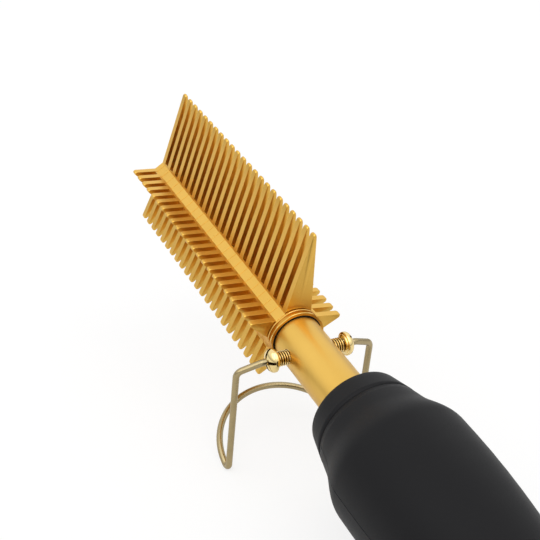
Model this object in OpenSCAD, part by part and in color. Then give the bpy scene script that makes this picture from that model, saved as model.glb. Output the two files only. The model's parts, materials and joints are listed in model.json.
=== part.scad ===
// Electric hot comb, resting on its wire stand and the tail of its handle.
// Tool frame: X runs along the barrel axis towards the comb's far end, Y to the left, Z up.
// Its origin is on the axis, in the comb head's end face. rest_pose() tilts the tool onto the floor.

/* [Comb head] */
// Number of plates along the comb
tooth_count = 23; // [12:1:30]
// Distance from one plate to the next
tooth_pitch = 4.75; // [3.6:0.05:6]
// Thickness of one plate
tooth_t = 2.3; // [1.4:0.1:3.2]
// Rounding of the tips in the tall row
top_round = 0.7; // [0.3:0.1:0.7]
// Rounding of the tips in the side rows
side_round = 0.5; // [0.2:0.1:0.7]
// Rounding of the tips in the lower rows
low_round = 0.5; // [0.3:0.1:0.7]
// Height of the gaps' floors above the foot of the tall row
top_rise = 0.8; // [0.2:0.1:2]
// Height of the gaps' floors above the foot of the side rows
side_rise = 0.9; // [0.2:0.1:2]
// Height of the gaps' floors above the foot of the lower rows
low_rise = 0.3; // [0.2:0.1:1]
// Tips of the tall top row, from the axis
top_tip_r = 37; // [26:0.5:44]
// Tips of the two side rows, from the axis
side_tip_r = 17.4; // [13:0.2:20]
// Tips of the two lower rows, from the axis
low_tip_r = 18.1; // [13:0.2:21]
// Width of a top or side tooth at its tip
tip_w = 0.9; // [0.5:0.1:1.6]
// Width of a lower tooth at its tip
low_tip_w = 0.7; // [0.5:0.1:1.6]
// Corners of the extruded core, from the axis
land_r = 9.45; // [9.3:0.05:11]
// Radius of the two turned rings at the handle end
ring_r = 9.7; // [9.5:0.05:11.5]
// Width of each turned ring
ring_w = 0.7; // [0.5:0.05:1.2]
// Groove between the two rings
ring_gap = 0.9; // [0.5:0.05:1.5]
// Turn of the comb head in its socket, about the barrel axis
comb_turn = 6.3; // [0:0.1:10]

/* [Heater] */
// Radius of the heater bore in the comb head
heater_bore_r = 5.5; // [5.2:0.1:6]
// Length of one PTC stone
stone_len = 22; // [15:0.5:24]
// Number of PTC stones
stone_count = 4; // [1:1:4]
// Width of the PTC stones and electrodes
stone_w = 7; // [5:0.1:7.4]
// Thickness of a PTC stone
stone_t = 2.5; // [1.5:0.1:2.8]
// Thickness of an electrode strip
electrode_t = 0.4; // [0.2:0.05:0.6]
// Thickness of the insulating film sleeve
film_t = 0.3; // [0.1:0.05:0.4]

/* [Barrel] */
// Radius of the barrel tube
barrel_r = 8.15; // [7.6:0.05:8.3]
// Wall of the barrel tube
barrel_wall = 0.8; // [0.5:0.05:1.2]
// Barrel length between comb head and handle
barrel_show = 39.6; // [32:0.2:60]
// Depth of the comb head's socket for the barrel
socket_depth = 4; // [3:0.2:4.2]

/* [Pivot screws] */
// Distance of the screws from the comb head's end face
pivot_back = 8.6; // [7:0.1:14]
// Height of the screws above the barrel axis
pivot_rise = 0.5; // [0:0.1:1]
// Thread diameter of the screws
screw_d = 5; // [4:0.1:5.4]
// Diameter of the screw heads
screw_head_d = 7.9; // [7:0.1:9]
// Height of the screw heads
screw_head_h = 3; // [1.8:0.1:3.6]
// Thread left standing out of the barrel
screw_standoff = 4.3; // [3:0.1:5]

/* [Wire stand] */
// Wire diameter
wire_d = 2.2; // [1.6:0.1:2.4]
// Distance between the two legs, centre to centre
stand_w = 48.4; // [48:0.2:58]
// How far the legs stand ahead of the screws
leg_ahead = 2.4; // [0:0.1:4]
// Height of the elbows below the screws
arm_drop = 3.8; // [2:0.1:7]
// Feet below the screws, along the legs
leg_drop = 44; // [38:0.5:60]
// Angle of the floor loop above the barrel's direction
loop_rise = 19; // [5:1:22]
// Straight wire between a foot and the round of the loop
loop_straight = 0.4; // [0.3:0.1:12]
// Bend radius at the elbows
elbow_r = 3; // [2:0.1:4]
// Bend radius at the feet
foot_r = 2.2; // [1.8:0.1:3]

/* [Handle] */
// Radius of the front rim
rim_r = 15.25; // [14.8:0.05:18]
// Length of the front collar
collar_len = 9.1; // [8:0.1:14]
// Radius at the seam behind the collar
seam_r = 17.2; // [16.8:0.05:19]
// Length of the neck behind the seam
neck_len = 5.8; // [4:0.1:10]
// Radius at the back of the neck
neck_r = 18.45; // [18:0.05:20]
// Length of the shoulder behind the neck
shoulder_len = 12.5; // [8:0.1:18]
// Largest radius of the grip
bulb_r = 22.35; // [21.5:0.05:23]
// Length of the grip at its largest radius
bulb_len = 7; // [4:0.5:20]
// Length of the whole handle without the gland
handle_len = 140.4; // [132:0.2:160]
// Radius of the tail
tail_r = 14; // [13.6:0.1:16]
// Rounding of the tail's edge
tail_round = 3; // [2:0.1:3.4]
// Wall of the handle shells
shell_wall = 2.8; // [2.2:0.1:3.2]

/* [Controls] */
// Length of the control panel
panel_len = 36; // [34:0.5:38]
// Width of the control panel
panel_w = 13; // [12:0.2:14]
// Thickness of the control panel
panel_t = 1.8; // [1.6:0.1:2.4]
// Diameter of the three buttons
button_d = 8.4; // [6:0.1:9]
// Distance from one button to the next
button_pitch = 11; // [10:0.1:11.5]
// How far the buttons stand out
button_proud = 0.7; // [0.4:0.1:1.2]
// Travel of the buttons
button_travel = 0.6; // [0.3:0.1:0.8]
// Depth of the circuit board below the panel's face
board_depth = 10; // [9.5:0.1:11]

/* [Cord swivel] */
// Bore of the gland, for the cord
cord_bore_d = 6; // [4:0.1:7]
// Diameter of the gland's shaft
gland_d = 12; // [10.5:0.1:13]
// Length of the gland's nose behind the handle
nose_len = 7.7; // [5:0.1:12]
// Radius of the nose where it leaves the handle
nose_r = 9; // [8.5:0.1:10]

/* [Clearances] */
// Running clearance of a pin in its hole, on the radius
run_gap = 0.05; // [0.02:0.01:0.1]
// Gap between pieces that move past each other
move_gap = 0.3; // [0.2:0.05:0.4]
// Gap between the two handle shells at the parting line
part_gap = 0.2; // [0.1:0.02:0.3]

/* [Hidden] */
$fn = 96;

gold = [0.80, 0.60, 0.24];
bright_gold = [0.90, 0.72, 0.30];
olive = [0.58, 0.54, 0.38];
charcoal = [0.17, 0.17, 0.18];
near_black = [0.06, 0.06, 0.07];
ceramic = [0.92, 0.91, 0.88];
steel = [0.72, 0.73, 0.75];

tiny = 0.01;
far = 100;

// Comb head
ring_len = 2 * ring_w + ring_gap;
tooth_start = ring_len + 0.35;
comb_len = tooth_start + (tooth_count - 1) * tooth_pitch + tooth_t;
low_lean = 0.7;
// Each land: direction and half its angle
lands = [[48, 11], [132, 11], [-19.5, 16.5], [199.5, 16.5], [270, 14]];
core_corners = [121, 59, 37, -3, -36, -76, -104, -144, -177, 143];
neck_root_r = 9.15;
row_root_r = 7.6;

// Barrel and its seal
seal_r = barrel_r + 0.65;
seal_seat = 0.6;
seal_proud = 0.12;
seal_fit = 0.02;
barrel_in_comb = socket_depth + seal_seat - 0.1;
barrel_in_handle = 22;
barrel_bore_r = barrel_r - barrel_wall;
nut_depth = 3;
nut_r = 4.1;

// Pivot screws: head seat and tip, measured from the barrel axis
screw_r = screw_d / 2;
screw_seat = barrel_r + screw_standoff;
screw_tip = barrel_bore_r - nut_depth + 0.4;
thread_pitch = 0.8;
thread_depth = 0.4;
head_collar_r = 3.2;
head_collar_h = 0.5;
wire_r = wire_d / 2;
wire_end = barrel_r + 0.8;
// Straight and bent stretches of a wire overlap a little, the straight ones a hair thinner
joint_lap = 0.1;
joint_step = 0.005;

// Wire stand, in the tool frame, left side
pivot = [-pivot_back, 0, pivot_rise];
leg_x = pivot.x + leg_ahead;
leg_y = stand_w / 2;
foot_axis_z = pivot.z - leg_drop + foot_r;
foot_centre = [leg_x + foot_r, foot_axis_z];
foot_half_turn = (90 + loop_rise) / 2;
foot_corner_z = foot_axis_z - foot_r * tan(foot_half_turn);
loop_dir = [cos(loop_rise), 0, sin(loop_rise)];
arm_y = screw_seat + screw_head_h + 1.2;
arm_start = [pivot.x, wire_end, pivot.z];
arm_corner = [pivot.x, arm_y, pivot.z];
elbow_corner = [leg_x, leg_y, pivot.z - arm_drop];
foot_corner = [leg_x, leg_y, foot_corner_z];
loop_start = foot_corner + loop_dir * (foot_r * tan(foot_half_turn) + loop_straight);

// Handle stations, as distances behind the comb head's end face
rim_d = barrel_show;
seam_d = rim_d + collar_len;
neck_d = seam_d + neck_len;
bulb_start_d = neck_d + shoulder_len;
bulb_end_d = bulb_start_d + bulb_len;
tail_d = rim_d + handle_len;
tail_side_d = tail_d - tail_round;
rim_round = 0.6;
collar_wall = 2.4;
spigot_len = 4.5;
spigot_r = rim_r - 1.6;
spigot_wall = 2;
spigot_root = 3;
seam_gap = 0.25;
seam_groove = 0.8;
pin_d = neck_d + 3;
pin_r = 1.5;
pin_z = 4.6;
holder_front = seam_d + 1;
holder_back = rim_d + barrel_in_handle - 0.5;

// Resting pose: one straight floor line under the foot bends and the rounded tail
tail_centre = [-tail_side_d, -(tail_r - tail_round)];
foot_outer_r = foot_r + wire_r;
rest_dx = foot_centre.x - tail_centre.x;
rest_dz = foot_centre.y - tail_centre.y;
rest_tilt = asin((foot_outer_r - tail_round) / norm([rest_dx, rest_dz])) + atan2(-rest_dz, rest_dx);
rest_lift = foot_outer_r - (sin(rest_tilt) * foot_centre.x + cos(rest_tilt) * foot_centre.y);
// Ends of the tilted tool along X
low_tip_drop = low_tip_r * sin(236 - 180 + comb_turn);
front_x = comb_len * cos(rest_tilt) + low_tip_drop * sin(rest_tilt);
nose_end_d = tail_d + move_gap + nose_len;
nose_end_r = nose_r - 2.5;
back_x = -nose_end_d * cos(rest_tilt) - nose_end_r * sin(rest_tilt);
middle_x = (front_x + back_x) / 2;

// Tail, from the handle's end inwards
rib_t = 3;
bearing_r = gland_d / 2 + 3.5;
bearing_len = 8;
bearing_d = tail_d - bearing_len;
clip_t = 1.2;
clip_r = gland_d / 2 + 2;
clip_d = bearing_d - move_gap - clip_t;
gland_step = 0.6;
gland_end_d = clip_d - 1;
block_len = 7;
block_r = 8;
block_d = gland_end_d - 0.5 - block_len;
block_middle_d = block_d + block_len / 2;

// Shell screws: place behind the comb head and to the side
shell_screw_r = 1.25;
shell_screw_head_r = 2.5;
boss_r = 4.2;
boss_gap = 0.5;
screw_floor = -8;
screw_top = 6;
rear_screw_d = block_d - boss_gap - boss_r;
shell_screw_places = [[bulb_end_d + 2, 10], [bulb_end_d + 2, -10], [rear_screw_d, 0]];

// Control panel
board_t = 1.6;
board_len = panel_len;
board_w = panel_w + 4;
panel_d = rear_screw_d - boss_r - boss_gap - board_len / 2;
panel_slope = atan((grip_r(panel_d - 5) - grip_r(panel_d + 5)) / 10);
panel_sink = 1.3;
panel_z = grip_r(panel_d) - panel_sink;
panel_fit = 0.1;
pad_t = 1.6;
pad_len = panel_len + 12;
pad_w = panel_w + 5;
button_hole_gap = move_gap;
cap_t = button_proud + panel_t - button_travel - move_gap;
stem_r = 1.8;
switch_h = 3.2;
plunger_h = 0.6;
plunger_r = 1.7;
plunger_top = -board_depth + switch_h + plunger_h;
stem_end = plunger_top + button_travel + move_gap;
post_r = 1.5;
post_x = board_len / 2 - 2.4;
post_y = board_w / 2 - 2.2;
lens_len = 3.2;
lens_w = 1.4;
lens_x = button_pitch / 2;
solder_x = board_len / 2 - 4.5;
solder_y = 6;
regulator = [11, 8, 6];
fuse_block = [5, 4, 3];
capacitor_r = 3;
capacitor_h = 7;
switch_w = 6;

// Heater stack, centred on the comb's bore
film_in_z = stone_t / 2 + electrode_t + 0.05;
film_out_z = film_in_z + film_t;
film_in_y = stone_w / 2 + 0.05;
film_out_y = film_in_y + film_t;
filler_z = film_out_z + 0.02;
heater_start = socket_depth + 2;
plug_t = 3;
heater_end = comb_len - plug_t - 1;
stone_gap = 1.2;
lead_r = 0.8;
lead_z = (stone_t + electrode_t) / 2;
lead_hole_r = lead_r + 0.05;
lead_bend = 1.6;
tab_w = 4;
tab_end = -1;
spacer_d = 27;
spacer_t = 6;
fuse_r = 1.9;
fuse_z = -(barrel_bore_r - fuse_r - 0.4);
fuse_len = 11;
lead_turn_d = bulb_end_d + 6;

// Radius of the handle at distance d behind the comb head's end face
function ease(u) = (1 - cos(180 * u)) / 2;
// Curve from r1, leaving at the given rise per unit of u, to a level end at r2
function swell(u, r1, rise, r2) =
    r1 * (2 * u ^ 3 - 3 * u ^ 2 + 1) + rise * (u ^ 3 - 2 * u ^ 2 + u) + r2 * (3 * u ^ 2 - 2 * u ^ 3);
neck_rise = (neck_r - seam_r) / neck_len * shoulder_len;
function grip_r(d) =
    d <= rim_d ? rim_r :
    d <= seam_d ? rim_r + (seam_r - rim_r) * (d - rim_d) / collar_len :
    d <= neck_d ? seam_r + (neck_r - seam_r) * (d - seam_d) / neck_len :
    d <= bulb_start_d ? swell((d - neck_d) / shoulder_len, neck_r, neck_rise, bulb_r) :
    d <= bulb_end_d ? bulb_r :
    d <= tail_side_d ? bulb_r + (tail_r - bulb_r) * ease((d - bulb_end_d) / (tail_side_d - bulb_end_d)) :
    tail_r - tail_round + sqrt(max(0, tail_round ^ 2 - (d - tail_side_d) ^ 2));

function steps(a, b, n) = [for (i = [0:n]) a + (b - a) * i / n];
function unit(v) = v / norm(v);
// A point of the control panel's own frame, in the tool frame
function panel_point(p) = [
    -panel_d + p.x * cos(panel_slope) - p.z * sin(panel_slope),
    p.y,
    panel_z + p.x * sin(panel_slope) + p.z * cos(panel_slope)
];

// Placing
module rest_pose() {
    translate([-middle_x, 0, rest_lift]) rotate([0, -rest_tilt, 0]) children();
}
module comb_frame() {
    rest_pose() rotate([comb_turn, 0, 0]) children();
}
module panel_frame() {
    rest_pose() translate([-panel_d, 0, panel_z]) rotate([0, -panel_slope, 0]) children();
}
// A profile of [radius, x] points turned about the barrel axis
module turned(points) {
    rotate([0, 90, 0]) rotate_extrude() polygon(points);
}
module tube_x(x1, x2, outer, inner) {
    turned([[inner, x1], [outer, x1], [outer, x2], [inner, x2]]);
}
module rod_x(x1, x2, r) {
    translate([x1, 0, 0]) rotate([0, 90, 0]) cylinder(h = x2 - x1, r = r);
}
// An outline of [y, z] points drawn out along X
module drawn_x(x1, x2) {
    translate([x1, 0, 0]) rotate([90, 0, 90]) linear_extrude(x2 - x1) children();
}
module box(x1, x2, y, z1, z2) {
    translate([x1, -y, z1]) cube([x2 - x1, 2 * y, z2 - z1]);
}
module rod(a, b, r) {
    v = b - a;
    translate(a) rotate([0, acos(v.z / norm(v)), atan2(v.y, v.x)]) cylinder(h = norm(v), r = r);
}
// The round of a wire at corner b, between straight stretches from a and to c
module wire_bend(a, b, c, bend_r, r) {
    back = unit(a - b);
    on = unit(c - b);
    half = acos(back * on) / 2;
    centre = b + unit(back + on) * bend_r / sin(half);
    start = b + back * bend_r / tan(half);
    x = unit(start - centre);
    y = -back;
    z = cross(x, y);
    multmatrix([
        [x.x, y.x, z.x, centre.x],
        [x.y, y.y, z.y, centre.y],
        [x.z, y.z, z.z, centre.z],
        [0, 0, 0, 1]])
        rotate_extrude(angle = 180 - 2 * half) translate([bend_r, 0]) circle(r);
}
function bend_cut(a, b, c, bend_r) = bend_r / tan(acos(unit(a - b) * unit(c - b)) / 2);
// A wire along a line of points, with every inner corner rounded to bend_r
module wire_path(points, bends, r) {
    last = len(points) - 1;
    cuts = [for (i = [0:last]) i == 0 || i == last ? 0 :
        bend_cut(points[i - 1], points[i], points[i + 1], bends[i - 1]) - joint_lap];
    for (i = [0:last - 1]) {
        way = unit(points[i + 1] - points[i]);
        rod(points[i] + way * cuts[i], points[i + 1] - way * cuts[i + 1], r - joint_step);
    }
    for (i = [1:last - 1]) wire_bend(points[i - 1], points[i], points[i + 1], bends[i - 1], r);
}
module stadium(length, width) {
    square([length - width, width], center = true);
    for (side = [-1, 1]) translate([side * (length - width) / 2, 0]) circle(d = width);
}

// Comb head
function tip_arc(x, top, side, round_r) = [
    for (a = [0:30:90]) [x + side * round_r * (cos(90 - a) - 1), top + round_r * (cos(a) - 1)]
];
// Side view of plate i, from the row's root to its rounded tip
module tooth_outline(i, tip, round_r) {
    x1 = tooth_start + i * tooth_pitch;
    x2 = x1 + tooth_t;
    near = tip_arc(x1, tip, -1, round_r);
    back = tip_arc(x2, tip, 1, round_r);
    polygon(concat([[x1, row_root_r]], [for (k = [3:-1:0]) near[k]], back, [[x2, row_root_r]]));
}
// Side view of the rib that joins a row's plates below the floors of the gaps
module rib_outline(rib_top) {
    translate([tooth_start, row_root_r]) square([comb_len - tooth_start, rib_top - row_root_r]);
}
// One row: its teeth and the rib they stand on, seated on a flat of the comb head
module tooth_row(direction, half, tip, width, lean, round_r, rise) {
    base_y = land_r * sin(half);
    base_z = land_r * cos(half) + seal_fit;
    tip_y = -tip * sin(lean);
    color(gold) comb_frame() rotate([direction - 90, 0, 0]) intersection() {
        drawn_x(0, comb_len + 1) polygon([[-base_y, base_z], [tip_y - width / 2, tip],
            [tip_y + width / 2, tip], [base_y, base_z]]);
        rotate([90, 0, 0]) linear_extrude(4 * land_r, center = true) {
            rib_outline(base_z + rise);
            for (i = [0:tooth_count - 1]) tooth_outline(i, tip, round_r);
        }
    }
}
module top_teeth() {
    tooth_row(90, 31, top_tip_r, tip_w, 0, top_round, top_rise);
}
module left_side_teeth() {
    tooth_row(17, 20, side_tip_r, tip_w, 0, side_round, side_rise);
}
module right_side_teeth() {
    tooth_row(163, 20, side_tip_r, tip_w, 0, side_round, side_rise);
}
module left_lower_teeth() {
    tooth_row(-56, 20, low_tip_r, low_tip_w, -low_lean, low_round, low_rise);
}
module right_lower_teeth() {
    tooth_row(236, 20, low_tip_r, low_tip_w, low_lean, low_round, low_rise);
}
module turned_rings() {
    difference() {
        turned([[0, 0], [ring_r, 0], [ring_r, ring_w], [neck_root_r, ring_w],
            [neck_root_r, ring_w + ring_gap], [ring_r, ring_w + ring_gap], [ring_r, ring_len],
            [neck_root_r, ring_len], [neck_root_r, ring_len + 0.3], [0, ring_len + 0.3]]);
        for (land = lands) rotate([land[0] - 90, 0, 0])
            box(-1, ring_len + 1, land_r, land_r * cos(land[1]), land_r + 3);
    }
}
module comb_head() {
    color(gold) comb_frame() difference() {
        union() {
            turned_rings();
            drawn_x(ring_len - tiny, comb_len)
                polygon([for (a = core_corners) land_r * [cos(a), sin(a)]]);
        }
        rod_x(-1, seal_seat, seal_r + seal_fit);
        rod_x(-1, seal_seat + socket_depth, barrel_r + run_gap);
        rod_x(-1, comb_len + 1, heater_bore_r);
    }
}
module comb_end_plug() {
    color(gold) comb_frame() difference() {
        rod_x(comb_len - plug_t, comb_len, heater_bore_r - seal_fit);
        rod_x(comb_len - 0.4, comb_len + 1, heater_bore_r - 1.2);
    }
}

// Heater
module heater_fillers() {
    color(steel) comb_frame() for (side = [0, 180]) rotate([side, 0, 0]) intersection() {
        rod_x(heater_start, heater_end, heater_bore_r - seal_fit);
        box(0, comb_len, far, filler_z, far);
    }
}
module heater_film() {
    color("goldenrod") comb_frame() difference() {
        box(heater_start - 2, heater_end, film_out_y, -film_out_z, film_out_z);
        box(0, comb_len, film_in_y, -film_in_z, film_in_z);
    }
}
module ptc_stones() {
    run = stone_count * stone_len + (stone_count - 1) * stone_gap;
    first = (heater_start + heater_end - run) / 2;
    color(ceramic) comb_frame() for (i = [0:stone_count - 1])
        translate([first + i * (stone_len + stone_gap), 0, 0])
            box(0, stone_len, stone_w / 2, -stone_t / 2, stone_t / 2);
}
module heater_electrodes() {
    color(bright_gold) comb_frame() for (side = [0, 180]) rotate([side, 0, 0]) union() {
        box(heater_start - 1, heater_end - 1, stone_w / 2, stone_t / 2, stone_t / 2 + electrode_t);
        box(tab_end, heater_start, tab_w / 2, stone_t / 2, stone_t / 2 + electrode_t);
    }
}

// Barrel
module barrel() {
    color(gold) rest_pose() difference() {
        tube_x(-(rim_d + barrel_in_handle), barrel_in_comb, barrel_r, barrel_bore_r);
        translate(pivot) rotate([90, 0, 0]) cylinder(h = far, r = screw_r + run_gap, center = true);
        pin_hole();
    }
}
module pin_hole() {
    translate([-pin_d, 0, pin_z]) rotate([90, 0, 0])
        cylinder(h = far, r = pin_r + seal_fit, center = true);
}
module barrel_seal() {
    color(near_black) rest_pose() tube_x(-seal_proud, seal_seat, seal_r, barrel_r + seal_fit);
}
module lead_spacer() {
    color(ceramic) rest_pose() difference() {
        rod_x(-spacer_d - spacer_t, -spacer_d, barrel_bore_r - run_gap);
        for (side = [-1, 1]) translate([0, 0, side * lead_z]) rod_x(-far, 0, lead_hole_r);
        translate([0, 0, fuse_z]) rod_x(-far, 0, fuse_r + seal_fit);
    }
}
module thermal_fuse() {
    middle = spacer_d + spacer_t / 2;
    color(steel) rest_pose() translate([0, 0, fuse_z]) union() {
        rod_x(-middle - fuse_len / 2, -middle + fuse_len / 2, fuse_r);
        rod_x(-middle - fuse_len / 2 - 3, -middle + fuse_len / 2 + 3, 0.4);
    }
}
// A lead from the tool frame to the underside of the circuit board
module board_lead(start, turn, pad) {
    under = -board_depth - board_t;
    corner = panel_point([pad.x, pad.y, under - 4]);
    finish = panel_point([pad.x, pad.y, under]);
    wire_path([start, turn, corner, finish], [lead_bend, lead_bend], lead_r);
}
module heater_leads() {
    color("firebrick") rest_pose() for (side = [-1, 1])
        board_lead([tab_end, 0, side * lead_z], [-lead_turn_d, 0, side * lead_z],
            [solder_x, side * solder_y]);
}

// Pivot screws and their nuts
module pivot_axis(side) {
    translate(pivot) rotate([-side * 90, 0, 0]) children();
}
module pivot_nuts() {
    color(bright_gold) rest_pose() for (side = [-1, 1]) difference() {
        intersection() {
            pivot_axis(side) translate([0, 0, barrel_bore_r - nut_depth]) cylinder(h = nut_depth, r = nut_r);
            rod_x(-far, far, barrel_bore_r - seal_fit);
        }
        pivot_axis(side) cylinder(h = far, r = screw_r + seal_fit);
    }
}
module pivot_screw(side) {
    head_r = screw_head_d / 2;
    rim_h = 0.7;
    dome_h = screw_head_h - rim_h;
    collar_z = screw_seat - head_collar_h;
    turns = floor((collar_z - screw_tip) / thread_pitch);
    thread = [for (k = [0:turns - 1], p = [[screw_r - thread_depth, 0], [screw_r, thread_pitch * 0.35],
        [screw_r, thread_pitch * 0.65]]) [p.x, screw_tip + k * thread_pitch + p.y]];
    dome = [for (a = [0:15:75]) [head_r * cos(a), screw_seat + rim_h + dome_h * sin(a)]];
    color(bright_gold) rest_pose() pivot_axis(side) difference() {
        rotate_extrude() polygon(concat([[0, screw_tip]], thread,
            [[screw_r - thread_depth, collar_z], [head_collar_r, collar_z], [head_collar_r, screw_seat],
                [head_r, screw_seat]], dome,
            [[0, screw_seat + screw_head_h]]));
        translate([0, 0, wire_end - 0.5]) cylinder(h = far, r = wire_r + run_gap);
        for (turn = [20, 110]) rotate([0, 0, turn])
            translate([-head_r, -0.5, screw_seat + 1.1]) cube([2 * head_r, 1, far]);
    }
}
module pivot_screw_left() { pivot_screw(1); }
module pivot_screw_right() { pivot_screw(-1); }

// Wire stand
module stand_side() {
    wire_path([arm_start, arm_corner, elbow_corner, foot_corner, loop_start + loop_dir * joint_lap],
        [elbow_r, elbow_r, foot_r], wire_r);
}
module stand_wire() {
    color(olive) rest_pose() union() {
        stand_side();
        mirror([0, 1, 0]) stand_side();
        translate([loop_start.x, 0, loop_start.z]) rotate([0, -loop_rise, 0])
            rotate([0, 0, -90]) rotate_extrude(angle = 180) translate([leg_y, 0]) circle(wire_r);
    }
}

// Handle
module handle_collar() {
    color(charcoal) rest_pose() turned([
        [barrel_r + move_gap, -rim_d], [rim_r - rim_round, -rim_d],
        [rim_r - 0.3 * rim_round, -rim_d - 0.3 * rim_round], [rim_r, -rim_d - rim_round],
        [seam_r, -seam_d + seam_gap], [seam_r - seam_groove, -seam_d + seam_gap],
        [seam_r - seam_groove, -seam_d + seal_fit], [spigot_r + run_gap, -seam_d + seal_fit],
        [spigot_r + run_gap, -rim_d - collar_wall], [barrel_r + move_gap, -rim_d - collar_wall]]);
}

// Solid of the grip behind the seam, with its surface sunk by depth
module grip_solid(depth, d1 = seam_d, d2 = tail_d) {
    round_d = steps(0, 90, 9);
    stations = concat(
        [d1], steps(neck_d, bulb_start_d, 10), [bulb_end_d],
        [for (d = steps(bulb_end_d, tail_side_d, 14)) if (d > bulb_end_d) d],
        [for (a = round_d) if (a > 0) tail_side_d + tail_round * sin(a)]);
    turned(concat([[0, -d1]], [for (d = stations) if (d <= d2) [grip_r(d) - depth, -d]], [[0, -d2]]));
}
module grip_wall() {
    difference() {
        grip_solid(0);
        grip_solid(shell_wall, seam_d - tiny, tail_side_d);
        rod_x(-tail_d - 1, -tail_side_d + 1, bearing_r + seal_fit);
        rod_x(-seam_d - 1, -seam_d + 1, spigot_r - spigot_wall);
    }
}
// Inner ribs, bosses and pads, trimmed to the grip's shape
module grip_ribs() {
    intersection() {
        grip_solid(shell_wall / 2, seam_d, tail_d);
        union() {
            tube_x(-seam_d - spigot_root, -seam_d, far, spigot_r - spigot_wall);
            tube_x(-tail_side_d - 0.5, -bearing_d - 1, far, bearing_r + seal_fit);
            tube_x(-block_middle_d - rib_t / 2, -block_middle_d + rib_t / 2, far, block_r + run_gap);
            shell_screw_cylinders(boss_r);
        }
    }
}
module spigot() {
    tube_x(-seam_d - spigot_root, -seam_d + spigot_len, spigot_r, spigot_r - spigot_wall);
}
module shell_screw_cylinders(r) {
    for (p = shell_screw_places) translate([-p.x, p.y, 0]) cylinder(h = far, r = r, center = true);
}
module half_space(side) {
    floor_z = side > 0 ? part_gap / 2 : -far - part_gap / 2;
    translate([-2 * far, -far, floor_z]) cube([3 * far, 2 * far, far]);
}
module handle_shell_lower() {
    color(charcoal) rest_pose() difference() {
        intersection() {
            union() {
                grip_wall();
                grip_ribs();
                spigot();
            }
            half_space(-1);
        }
        shell_screw_cylinders(shell_screw_r + 0.15);
        for (p = shell_screw_places) translate([-p.x, p.y, screw_floor - far])
            cylinder(h = far, r = shell_screw_head_r + move_gap);
    }
}
// The thickening under the panel, with the pocket's floor on top
module panel_pad() {
    intersection() {
        panel_frame() translate([0, 0, -panel_t - pad_t]) linear_extrude(panel_t + pad_t)
            square([pad_len, pad_w], center = true);
        rest_pose() grip_solid(shell_wall / 2);
    }
}
module board_posts() {
    for (sx = [-1, 1], sy = [-1, 1]) translate([sx * post_x, sy * post_y, -board_depth])
        cylinder(h = board_depth - panel_t, r = post_r);
}
module panel_cuts() {
    translate([0, 0, -panel_t]) linear_extrude(far)
        stadium(panel_len + 2 * panel_fit, panel_w + 2 * panel_fit);
    for (i = [-1:1]) translate([i * button_pitch, 0, -far / 2])
        cylinder(h = far / 2, r = stem_r + move_gap);
    lens_shape(-far / 2, far / 2, panel_fit);
}
module handle_shell_upper() {
    color(charcoal) difference() {
        union() {
            rest_pose() intersection() {
                union() {
                    grip_wall();
                    grip_ribs();
                    spigot();
                }
                half_space(1);
            }
            panel_pad();
            panel_frame() board_posts();
        }
        panel_frame() panel_cuts();
        rest_pose() intersection() {
            shell_screw_cylinders(shell_screw_r + seal_fit);
            translate([-2 * far, -far, -far]) cube([3 * far, 2 * far, far + screw_top + 1]);
        }
    }
}
module lens_shape(z, height, room) {
    translate([lens_x, 0, z]) rotate([0, 0, 90]) linear_extrude(height)
        stadium(lens_len + 2 * room, lens_w + 2 * room);
}
function holder_r(d) = grip_r(d) - shell_wall - run_gap;
module barrel_holder() {
    front_r = spigot_r - spigot_wall - run_gap;
    step_d = seam_d + spigot_root + run_gap;
    color(ceramic) rest_pose() difference() {
        turned(concat(
            [[barrel_r + run_gap, -holder_front], [front_r, -holder_front], [front_r, -step_d],
                [holder_r(step_d), -step_d]],
            [for (d = steps(neck_d, holder_back, 5)) [holder_r(d), -d]],
            [[barrel_r + run_gap, -holder_back]]));
        pin_hole();
    }
}
module barrel_pin() {
    reach = sqrt(holder_r(pin_d) ^ 2 - (pin_z + pin_r) ^ 2) - 0.3;
    color(steel) rest_pose() translate([-pin_d, 0, pin_z]) rotate([90, 0, 0])
        cylinder(h = 2 * reach, r = pin_r, center = true);
}
module shell_screws() {
    color(steel) rest_pose() for (p = shell_screw_places) translate([-p.x, p.y, 0]) difference() {
        union() {
            translate([0, 0, screw_floor - 1.8]) cylinder(h = 1.8, r = shell_screw_head_r);
            translate([0, 0, screw_floor - tiny]) cylinder(h = screw_top - screw_floor, r = shell_screw_r);
        }
        for (turn = [0, 90]) rotate([0, 0, turn])
            translate([-1.6, -0.35, screw_floor - 2]) cube([3.2, 0.7, 1.2]);
    }
}

// Controls
module control_panel() {
    color(near_black) panel_frame() difference() {
        translate([0, 0, -panel_t]) linear_extrude(panel_t) stadium(panel_len, panel_w);
        for (i = [-1:1]) translate([i * button_pitch, 0, -far / 2])
            cylinder(h = far, r = button_d / 2 + button_hole_gap);
        lens_shape(-far / 2, far, panel_fit);
    }
}
module button(i) {
    top = button_proud;
    color(charcoal) panel_frame() translate([i * button_pitch, 0, 0]) rotate_extrude() polygon([
        [0, stem_end], [stem_r, stem_end], [stem_r, top - cap_t], [button_d / 2, top - cap_t],
        [button_d / 2, top - 0.4], [button_d / 2 - 0.15, top - 0.12], [button_d / 2 - 0.5, top], [0, top]]);
}
module power_button() { button(-1); }
module minus_button() { button(0); }
module plus_button() { button(1); }
module indicator_lens() {
    color("lightcyan") panel_frame() lens_shape(-panel_t - pad_t, panel_t + pad_t + 0.1, panel_fit / 2);
}
module circuit_board() {
    color("darkgreen") panel_frame() translate([0, 0, -board_depth - board_t]) linear_extrude(board_t)
        square([board_len, board_w], center = true);
}
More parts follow.
